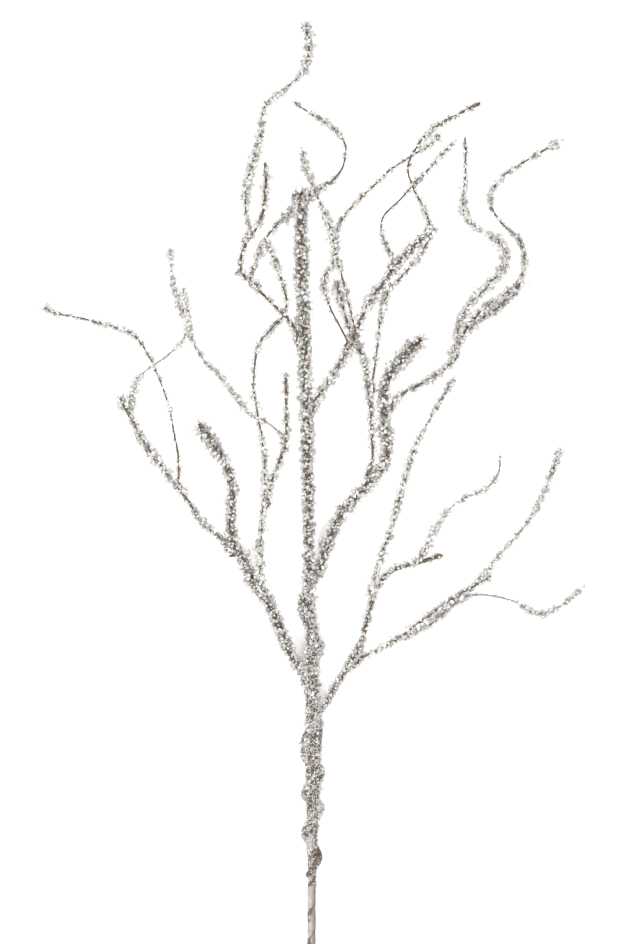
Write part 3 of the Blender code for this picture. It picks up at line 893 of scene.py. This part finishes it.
mainStem = {
    **thickLook, "wire": (3.12, 3.12, 3.12, 3.1, 3.7, 4.8, 4.9, 4.7, 3.5, 2.8, 2.5, 2.5, 2.6, 2.7, 2.9, 3.0),
    "grit": (0, 0, 0, 0.5, 0.9, 1, 1, 1, 0.9, 0.7, 0.4, 0.2),
    "chip": (1.8, 1.8, 1.8, 1.8, 2.0, 2.2, 2.2, 2.3, 2.4, 2.5, 2.6, 2.7),
    "wash": (1, 1, 1, 1, 0.8, 0.2, 0.1, 0.1, 0.1, 0.1, 0.1, 0.15, 0.2), "spacing": 1.80, "top": 0.50,
    "spurs": ((-15.2, 618.5, 1.0),), "inset": 0.5, "cut": True, "slot": "wrapped_stem", "seed": 1,
    "points": (
        (0, 0, 2.9, 2.9, 0), (0.2, 20, 3.3, 2.9, 0), (0.3, 55, 5.4, 2.9, 0), (0.5, 76, 7.4, 3.1, 0.05),
        (0.9, 102, 9.6, 3.5, 0.15), (1.3, 140, 11, 4.5, 0.3), (1.2, 183, 11.5, 4.5, 0.35),
        (0.8, 223, 12.2, 4.5, 0.5), (0.8, 262, 13.6, 4.5, 0.75), (-1.6, 295, 15.6, 4.2, 0.85),
        (-1.8, 327, 18, 4.2, 0.95), (-2.4, 375, 22.4, 4.6, 1.1), (-4, 455, 29, 5.2, 1.2),
        (-6.4, 535, 34, 5.7, 1.15), (-8, 590, 36, 6.2, 1.05), (-8.6, 623, 37, 6.2, 1.3),
    ),
}
# proud: how far it stands out of the stem's cut end; depth: how far it reaches in
steelCore = {"radius": 1.15, "proud": 0.35, "depth": 4.0, "bevel": 0.18, "sides": 24, "place": (0, 0, 2.9)}


def steelFinish():
    material, tree, shader = newMaterial("cutSteel", {"Metallic": 1.0})
    stain = cloud(tree, objectPlace(tree), 1900.0, 3.0)
    colour = mixColour(tree, ramp(tree, stain, 0.52, 0.68), "cutSteel", "steelStain")
    tree.links.new(colour, shader["Base Color"])
    tree.links.new(ramp(tree, stain, 0.3, 0.7, 0.28, 0.55), shader["Roughness"])
    tree.links.new(bumpOf(tree, stain, 0.4, 0.0001), shader["Normal"])
    return material


def makeSteelCore(setup):
    build = bmesh.new()
    bmesh.ops.create_cone(build, cap_ends=True, segments=setup["sides"], radius1=setup["radius"],
                          radius2=setup["radius"], depth=setup["depth"] + setup["proud"])
    rims = [edge for edge in build.edges if abs(edge.verts[0].co.z - edge.verts[1].co.z) < 1e-6]
    bmesh.ops.bevel(build, geom=rims, offset=setup["bevel"], segments=2, affect="EDGES")
    middle = Vector(setup["place"]) + Vector((0, (setup["depth"] - setup["proud"]) * 0.5, 0))
    for corner in build.verts:
        corner.co = (Vector((corner.co.x, corner.co.z, -corner.co.y)) + middle - origin) * mm
    bmesh.ops.recalc_face_normals(build, faces=build.faces)
    core = addObject("main_stem_core", meshFrom(build, "main_stem_core"))
    core.data.materials.append(steelFinish())
    placePiece(core, "main_stem")


def growMainStem():
    points = [Vector(point[:4]) for point in mainStem["points"]]
    makeStem("main_stem", points[::-1], range(len(points))[::-1], mainStem)
    makeSteelCore(steelCore)
    return roundTip(smoothRoute(points, coarseStep)[::-1])


rightBranch = {**thickLook, "seed": 2, "points": (
    (89, 505.5, 36, 2), (78, 494, 35, 1.6), (68, 482, 34, 1.55), (60.5, 471, 33, 1), (58, 457, 31.5, 1.1),
    (59, 434, 29, 1.27), (61, 417, 27, 1.33), (58.5, 404, 26, 1.2), (49, 391, 25, 1.27),
    (36, 378, 24, 1.27), (24, 364, 22.5, 1.06), (18, 352, 21, 1.2), (12.5, 337, 18.5, 1.06),
    (8.5, 325, 14.5, 0.8), (5.5, 318, 10.5, 0.8), (0, 311, 8, 1.06),
)}
upperLeftShoot = {
    **shootLook, "spurs": ((-61.5, 556.0, 0.5),), "wash": 0.05, "top": 0.5, "seed": 3,
    "points": (
        (-37, 646, 33, 1), (-36, 633, 32, 1.1), (-38, 609, 31, 0.9), (-44, 592, 31, 0.7),
        (-52, 580, 32, 0.4), (-56.5, 566, 34, 0.9), (-53, 554, 36.5, 0.9), (-40, 541, 38.5, 0.7),
        (-25, 527, 39.5, 0.8), (-17, 518, 40.5, 0.6), (-12, 509, 40, 0.8),
    ),
}
upperRightShoot = {
    **shootLook, "wire": (1.4, 1.6, 1.6, 1.5, 1.3, 1.2, 1.12), "wash": 0.05, "top": 0.5, "seed": 4,
    "points": (
        (100, 593, 36, 1.42), (91, 586, 37, 1.14), (78, 574, 39, 1.28), (67, 562, 40, 1.28),
        (57.5, 548, 41, 1.14), (47, 533.5, 41, 1.28), (40, 520, 41, 1.14), (35, 506, 40.5, 1.42),
        (27.5, 492, 39.5, 1.28), (17, 475, 38, 1.28), (10, 464, 36.5, 1.14), (4, 454, 35, 1.42),
    ),
}
leftBranch = {
    **thickLook, "radii": (4.6, 4.5, 3.9),
    "wire": (2.4, 2.3, 2.2, 2.1, 2.1, 2.2, 2.3, 2.4, 2.4, 2.5, 2.5, 2.4, 2.2, 2.1, 2.0, 1.8, 1.4, 1.0),
    "grit": (*[0] * 8, 0.1, 0.3, 0.5, 0.7, 0.9, 1),
    "chip": (2.8, 2.8, 2.7, 2.6, 2.6, 2.6, 2.6, 2.5, 2.4, 2.4, 2.3, 2.3, 2.1, 2.0, 2.0, 1.9, 1.8),
    "wash": (*[0.22] * 8, 0.2, 0.2, *[0.1] * 5, 0.3), "seed": 5,
    "points": (
        (-90.5, 437, 16, 1.6), (-77.5, 418, 18, 1.3), (-67, 401, 20, 1.15), (-63, 383, 22, 1.15),
        (-64, 359, 23, 1.25), (-62, 340, 23.5, 1.3), (-54.5, 329, 23, 1.35), (-48.5, 313, 21.5, 1.4),
        (-35, 294, 19.5, 1.35), (-26, 274, 17.5, 1.35), (-18.5, 256, 15.5, 1.3), (-11.5, 244, 14.2, 1.15),
    ),
    "turns": (
        (235, 0.5, 0.9), (228, 0.56, 0.65), (214, 0.74, 0.45), (196, 0.93, 0.45), (183, 1.02, 0.45),
        (173, 1.05, 0.45),
    ),
}
lowerRightBranch = {
    **shootLook, "radii": (3.0, 2.7, 2.5),
    "wire": (*[1.5] * 9, 1.6, 1.7, 1.8, 2.0, 2.3, 2.6, *[2.8] * 6, 2.9, 1.8),
    "grit": (*[0] * 9, 0.2, 0.4, 0.6, 0.8, 0.8, 0.3, 0.9, 1, 1, 0.5, 1, 0.9, 0.1, 0.2),
    "chip": (*[2.4] * 9, 2.3, 2.3, *[2.2] * 9, 2.1, 2.0, 1.9),
    "wash": (0.1, 0.1, 0.2, *[0.3] * 5, 0.2, *[0.1] * 3, 0.2, 0.5, 0.85, 0.1, 0.05, 0.05, 0.6, 0.05, 0.1,
             0.4),
    "seed": 6,
    "points": (
        (106, 332, 10, 0.7), (96, 328, 11, 0.4), (81, 324, 12, 0.6), (66, 319, 13, 0.6),
        (57, 311, 13.5, 0.7), (50.5, 301, 14, 0.9), (46.5, 285.5, 14, 0.9), (42.5, 268, 14, 0.9),
        (37, 254, 14, 1), (29, 241.5, 14, 1), (22.5, 230, 14.5, 0.9), (17, 222, 15, 0.8),
        (13, 214.5, 15.5, 0.6),
    ),
    "turns": (
        (205, 0.07, 0.35), (194, 0.25, 0.15), (184, 0.42, 0.25), (169, 0.57, 0.3), (157, 1, 0.3),
        (139, 1.5, 0.25), (128, 2, 0.3), (108, 2.5, 0.15), (88, 3, 0.05), (72, 3.4, 0),
    ),
}
shortStub = {
    **thickLook, "wire": (2.1, 2.1, 2.1, 2.0, 1.6, 1.0), "grit": 0.9, "chip": 2.3, "wash": 0.15, "seed": 7,
    "turns": (
        (302, 0.52, 1.1), (290, 0.5, 0.9), (275, 0.3, 0.6), (259, 0.02, 0.4), (250, -0.12, 0.4),
        (243, -0.2, 0.4),
    ),
}


# a branch whose base winds round the stem
def joinTail(name, tip, tail, marks, piece):
    makeStem(name, tip + tail, [*range(len(tip)), *(len(tip) + mark for mark in marks)], piece)
    return roundTip(smoothRoute(tip, coarseStep) + tail)


def growBranches(stem):
    right = grow("right_branch", stem, rightBranch, overlap=5.0)
    upperLeft = grow("upper_left_shoot", stem, upperLeftShoot)
    upperRight = grow("upper_right_shoot", stem, upperRightShoot, overlap=6.0)
    tip = withRadii(leftBranch["points"], *leftBranch["radii"])
    tail, marks = woundPoints(stem, leftBranch["turns"], 2.2)
    left = joinTail("left_branch", tip, taperEnd(tail, 3, 0.5), marks, leftBranch)
    tip = withRadii(lowerRightBranch["points"], *lowerRightBranch["radii"])
    tail, marks = woundPoints(stem, lowerRightBranch["turns"], 2.5)
    lowerRight = joinTail("lower_right_branch", tip, taperEnd(tail, 6, 0.35), marks, lowerRightBranch)
    strand, marks = woundPoints(stem, shortStub["turns"], 2.5)
    makeStem("short_stub", strand, marks, shortStub)
    return right, upperLeft, upperRight, left, lowerRight


leftSideShoot = {**shootLook, "wash": 0.4, "seed": 8, "points": (
    (-154, 458.5, 15, 1.7), (-147, 446, 14.5, 0.8), (-140, 433, 14.5, 1.14), (-129, 415, 15.5, 1.26),
    (-113, 393, 18, 1.14), (-99, 375, 21, 1.14), (-87, 357, 24, 1), (-79, 350, 25, 0.9), (-73, 342, 26, 1),
)}
leftLongTwig = {**twigLook, "bead": 1.7, "seed": 9, "points": (
    (-216, 529.5, 1.6, 2.2), (-206, 525.5, 2.5, 0.48), (-185, 521, 5.5, 0.42), (-165.5, 516, 9.5, 0.62),
    (-149, 511, 13, 1.03), (-139, 504, 16, 0.68), (-126.5, 484, 20, 0.42), (-115, 454, 22, 0.34),
    (-109.5, 429, 22.5, 0.21), (-106, 407, 23, 0.21), (-104.5, 391, 24, 0.68),
)}
leftHookedTwig = {
    **twigLook, "radii": (2.1, 1.7, 1.9), "bead": 1.2, "milky": 0.9, "wash": 0.8, "seed": 10,
    "points": (
        (-103, 545, 38, 0.94), (-99, 529, 32.5, 0.77), (-98.5, 519, 28.5, 0.77), (-102, 505, 25, 0.51),
        (-108, 497, 22, 0.51), (-117, 489.5, 17, 0.26), (-126.5, 483, 13, 0.17), (-134.5, 477, 11, 0.38),
        (-141.5, 468, 9, 1.1), (-144, 453, 7, 1.19), (-143, 439, 6.6, 0.59), (-139.5, 424, 7.5, 0.26),
        (-131.5, 411, 9.5, 0.42),
    ),
}
centreLongTwig = {**twigLook, "seed": 11, "points": (
    (-37.5, 585, 58, 0.55), (-33, 575, 56, 1.21), (-27, 561, 52, 0.99), (-22.5, 546.5, 46, 0.55),
    (-19.5, 534.5, 39, 0.55), (-22, 523, 32, 0.44), (-31, 513, 29.5, 0.99), (-42, 498.5, 29, 0.77),
    (-45, 481.5, 28, 0.44), (-46, 466.5, 28, 0.66), (-43.5, 449, 28, 0.77), (-40, 429, 28, 0.55),
    (-37.5, 410, 27.5, 1.1), (-37, 387, 27, 0.88), (-39, 359, 26.5, 0.99), (-40.5, 337, 26.5, 1.21),
    (-41, 320, 26.5, 1.1), (-39.5, 306, 27, 1.1),
)}
centreShortShoot = {
    **shootLook, "slot": "iced_twig", "radii": (2.8, 2.4, 2.1), "spurs": ((-27.5, 399.0, 0.5),), "seed": 12,
    "points": (
        (-20.5, 477, 48, 1), (-20, 459, 43, 0.6), (-19.5, 443, 38, 0.5), (-19.5, 429, 34, 0.6),
        (-20.5, 417, 30, 0.8), (-26, 404, 29, 1), (-30.5, 392, 28, 1), (-34, 380, 27, 0.8),
    ),
}
leftMiddleTwig = {**twigLook, "bead": 1.2, "wash": 0.7, "seed": 13, "points": (
    (-113, 577, 13, 1.43), (-112, 562.5, 14, 0.66), (-110.5, 547, 15.5, 0.99), (-105.5, 532, 17, 1.43),
    (-99, 518.5, 19, 0.99), (-95, 503, 19, 0.99), (-86.5, 488, 19, 0.33), (-75, 477, 19, 0.88),
    (-66.5, 465.5, 19.5, 0.88), (-57.5, 454.5, 20, 0.99), (-49.5, 444, 20.5, 0.44), (-40, 440, 22, 0.44),
    (-31, 434, 25, 0.22), (-24, 428, 29, 0.44),
)}
topTwig = {**twigLook, "bead": 1.3, "seed": 14, "points": (
    (-4, 758.5, 1.6, 2.18), (-2, 745, 2.6, 1.31), (-2.5, 729, 6, 1.46), (-8, 717, 10, 1.02),
    (-17, 708, 14, 0.87), (-28, 699, 18, 1.31), (-37, 690.5, 21, 0.73), (-39, 677.5, 23, 1.16),
    (-41.5, 662.5, 25, 1.16), (-46.5, 645.5, 27, 1.46), (-51, 629.5, 30, 1.6), (-52.5, 615, 32, 1.16),
    (-51.5, 603, 34, 0.58), (-50.5, 592, 36, 0.73),
)}
topLoopTwig = {**twigLook, "seed": 15, "points": (
    (-15, 693.5, 54, 1.55), (-5.5, 686.5, 51, 0.44), (11, 677, 46, 1.03), (21, 669, 41, 1.03),
    (26.5, 661, 37, 0.44), (28, 653, 33, 0.34), (25.5, 641.5, 30, 0.25), (17.5, 631, 28, 0.69),
    (6.5, 624, 27, 1.38), (-5, 616, 26.5, 1.55), (-15, 606.5, 28, 1.72), (-25, 597.5, 32, 1.21),
    (-35, 586, 37, 0.17), (-41, 574, 41, 1.03), (-44.5, 564, 43, 1.03), (-48, 554, 43, 1.03),
)}


def growLeft(left, upperLeft):
    side = grow("left_side_shoot", left, leftSideShoot)
    grow("left_long_twig", side, leftLongTwig)
    grow("left_hooked_twig", side, leftHookedTwig)
    centre = grow("centre_long_twig", left, centreLongTwig)
    short = grow("centre_short_shoot", centre, centreShortShoot)
    grow("left_middle_twig", short, leftMiddleTwig, overlap=6.0)
    grow("top_twig", upperLeft, topTwig)
    grow("top_loop_twig", upperLeft, topLoopTwig)


rightInnerShoot = {**shootLook, "seed": 16, "points": (
    (21, 551, 38, 1.2), (22.5, 539, 37, 1.3), (27, 523, 35, 0.9), (32, 510, 33, 0.6), (38, 498, 32, 1.2),
    (43, 484, 31, 0.9), (46, 467, 30, 1), (48, 446, 29, 1), (48.7, 427, 29, 0.8), (49.5, 412, 28.5, 0.5),
    (47, 402, 29, 0.8),
)}
rightLongTwig = {
    **twigLook, "wire": (1.5, 1.1, 0.9, 0.8, 0.75), "wash": 0.1, "top": 0.45, "seed": 17,
    "points": (
        (136, 692, 52, 0.3), (120, 684, 52.5, 0.7), (100, 673, 52, 0.9), (88, 661.5, 51, 0.9),
        (80, 649.5, 50, 0.15), (77.5, 638, 49, 0.4), (81, 625, 48, 0.3), (89, 610, 47, 0.9),
        (94.5, 595, 45.5, 0.7), (94.5, 584.5, 45, 1), (86, 570, 43.5, 0.9), (73, 554, 40.5, 0.6),
        (63.5, 544, 38, 1.2), (58.5, 533, 36, 1.1), (55.5, 519, 34, 0.6), (53.5, 502, 33, 0.5),
        (51.7, 486, 32.5, 0.5), (50, 472, 32.5, 0.3),
    ),
}
rightOuterShoot = {
    **shootLook, "radii": (2.9, 2.7, 2.6), "wash": 0.15, "top": 0.75, "seed": 18,
    "points": (
        (171, 552, 20, 1.47), (164, 545, 21, 1.05), (151, 537, 23, 0.95), (140, 529.5, 25, 1.05),
        (131, 521, 27, 0.95), (123, 510, 28, 0.84), (118.5, 498, 29, 0.73), (113, 486, 30, 0.95),
        (103, 477, 31, 0.95), (87, 467.5, 32, 0.85), (76, 462, 32.5, 0.9), (67, 453, 33, 0.95),
    ),
}
rightTallTwig = {**twigLook, "seed": 19, "points": (
    (123, 666.5, 40, 0.05), (123.5, 651, 39, 0.52), (123, 629, 37, 0.78), (121.5, 609.5, 35, 1.3),
    (126.5, 597.5, 33, 1.3), (138.5, 589, 31, 0.78), (149.5, 582, 29, 1.56), (155.5, 573.5, 27, 1.56),
    (154.5, 563, 27, 1.17), (147, 552, 28, 1.3), (136.5, 541.5, 30, 1.3), (125.5, 529.5, 31.5, 1.3),
    (118.5, 517, 32, 1.3), (115.5, 503, 32, 1.3),
)}
rightFarTwig = {**twigLook, "bead": 1.9, "seed": 20, "points": (
    (198, 662.5, 1.5, 2.28), (188, 656.5, 2.6, 0.24), (176, 649.5, 5, 0.42), (165, 642.5, 7.5, 0.48),
    (153.5, 634.5, 10, 0.96), (146.5, 625.5, 12, 0.84), (143.5, 616, 14, 0.6), (147, 605, 15, 0.48),
    (156, 593.5, 15.5, 0.48), (165.5, 585.5, 15, 1.08), (170.5, 574.5, 14, 0.96), (171, 561.5, 13, 0.72),
    (165.5, 544.5, 13, 1.08), (154.5, 532.5, 15, 1.2), (143, 524.5, 18, 1.08), (134.5, 516, 21.5, 1.2),
)}
innerCurlTwig = {**twigLook, "bead": 1.0, "seed": 21, "points": (
    (-6.5, 653.5, 66, 1.1), (-5, 644, 63, 1.21), (-1, 631, 59, 1.1), (5, 617, 55, 0.44),
    (12, 601, 52, 1.32), (17.5, 584, 50, 1.32), (20.5, 568, 49, 0.99), (25, 552.5, 48, 0.44),
    (29, 537, 47.5, 0.77), (32, 525, 46.5, 0.33), (35, 512, 46, 0.33),
)}
upperCurlTwig = {**twigLook, "seed": 22, "points": (
    (103, 670.5, 30, 0.9), (98.5, 662, 33, 0.9), (89, 655, 36, 0.5), (77.5, 648, 39, 0.15),
    (63, 639, 40, 0.5), (50.5, 626.5, 41, 0.6), (38.5, 615, 41.5, 0.6), (27, 602.5, 42, 0.8),
    (20, 590.5, 42, 1), (19, 577, 42, 1.1), (18.5, 565.5, 42, 1), (13, 557, 42, 1.2), (10, 546.5, 42, 1),
    (13.5, 533.5, 42, 0.4), (19.5, 520, 42.5, 0.1), (26, 504, 43, 0.1),
)}
rightForkedTwig = {**twigLook, "seed": 23, "points": (
    (117, 662.5, 47, 0.9), (109.5, 656, 46, 0.9), (97, 642.5, 43, 0.8), (83, 628, 40.5, 1),
    (70.5, 614.5, 39.5, 0.2), (59, 603, 40, 0.4), (56, 593.5, 41, 0.3), (58.5, 582, 42.5, 0.8),
    (63, 568, 43.5, 1),
)}


def growRight(right, upperRight):
    inner = grow("right_inner_shoot", right, rightInnerShoot, overlap=6.0)
    grow("right_long_twig", inner, rightLongTwig)
    outer = grow("right_outer_shoot", right, rightOuterShoot, overlap=5.0)
    grow("right_tall_twig", outer, rightTallTwig)
    grow("right_far_twig", outer, rightFarTwig)
    grow("inner_curl_twig", upperRight, innerCurlTwig)
    grow("upper_curl_twig", upperRight, upperCurlTwig, overlap=4.0)
    grow("right_forked_twig", upperRight, rightForkedTwig, overlap=4.0)


lowerRightInnerTwig = {**twigLook, "seed": 24, "points": (
    (116, 473, 13, 1.2), (110.5, 465.5, 15, 0.85), (101.5, 451, 18, 0.75), (93.5, 437, 20, 0.6),
    (85, 421.5, 21.5, 0.75), (79, 405, 21.5, 1.1), (74.5, 389, 21, 0.85), (69.5, 372, 20, 1.2),
    (65, 354.5, 19, 1.1), (59, 338, 18, 1.2), (53.5, 323, 17.5, 1.1), (50, 310, 17.5, 1),
)}
lowerRightMiddleTwig = {**twigLook, "wash": 0.6, "milky": 0.8, "seed": 25, "points": (
    (151, 412, 34, 0.9), (151, 401.5, 32, 0.1), (147, 391, 29.5, 0.8), (137, 382.5, 26, 0.9),
    (124, 377, 22.5, 0.6), (113, 369.5, 20, 0.2), (103, 357.5, 18, 1.3), (95, 344, 16, 1.3),
    (88.5, 331, 15.5, 1),
)}
lowerRightShoot = {
    **shootLook, "radii": (3.0, 2.8, 2.6), "wash": 0.4, "milky": 0.7, "seed": 26,
    "points": (
        (145.5, 315, 8, 0.9), (133.5, 308, 8.5, 0.8), (116, 297, 9, 1), (100, 286.5, 10, 0.9),
        (83, 273.5, 11, 0.9), (70, 264, 12, 0.8), (55.5, 255.5, 13, 0.6), (41, 248.5, 13.5, 0.7),
    ),
}
lowerRightTallTwig = {**twigLook, "wash": 0.6, "milky": 0.8, "seed": 27, "points": (
    (201, 417.5, 30, 1.12), (195, 404, 27, 1.26), (189.5, 388, 23, 0.84), (181.5, 371, 19, 1.26),
    (175, 358.5, 16, 0.84), (165, 346.5, 14, 0.7), (152, 332, 12.5, 0.7), (140, 317, 12, 1.12),
)}
lowerRightWavyTwig = {**twigLook, "wash": 0.6, "milky": 0.8, "seed": 28, "points": (
    (217, 304, 1.7, 1.23), (209, 297, 2, 0.82), (199, 289, 2.6, 0.41), (186.5, 283.5, 3, 1.02),
    (175, 287, 3.2, 0.82), (163, 293.5, 3.4, 0.41), (149, 297.5, 3.2, 0.1), (135, 299, 2.6, 0.2),
    (124, 297, 2.2, 0.61), (111, 288.5, 2.8, 0.82), (100, 278.5, 4.6, 0.72), (93, 273, 6, 0.72),
    (85, 267.5, 7.5, 0.72),
)}


def growLowerRight(lowerRight):
    grow("lower_right_inner_twig", lowerRight, lowerRightInnerTwig)
    grow("lower_right_middle_twig", lowerRight, lowerRightMiddleTwig, overlap=4.0)
    shoot = grow("lower_right_shoot", lowerRight, lowerRightShoot)
    grow("lower_right_tall_twig", shoot, lowerRightTallTwig, overlap=7.0)
    grow("lower_right_wavy_twig", shoot, lowerRightWavyTwig)


stemRoute = growMainStem()
rightRoute, upperLeftRoute, upperRightRoute, leftRoute, lowerRightRoute = growBranches(stemRoute)
growLeft(leftRoute, upperLeftRoute)
growRight(rightRoute, upperRightRoute)
growLowerRight(lowerRightRoute)

for shape in list(chipCollection.objects):
    bpy.data.objects.remove(shape)
bpy.data.collections.remove(chipCollection)

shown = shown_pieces()
print("pieces", len(shown), "triangles", sum(len(piece.data.loop_triangles) or len(piece.data.polygons) * 2
                                             for piece in shown))
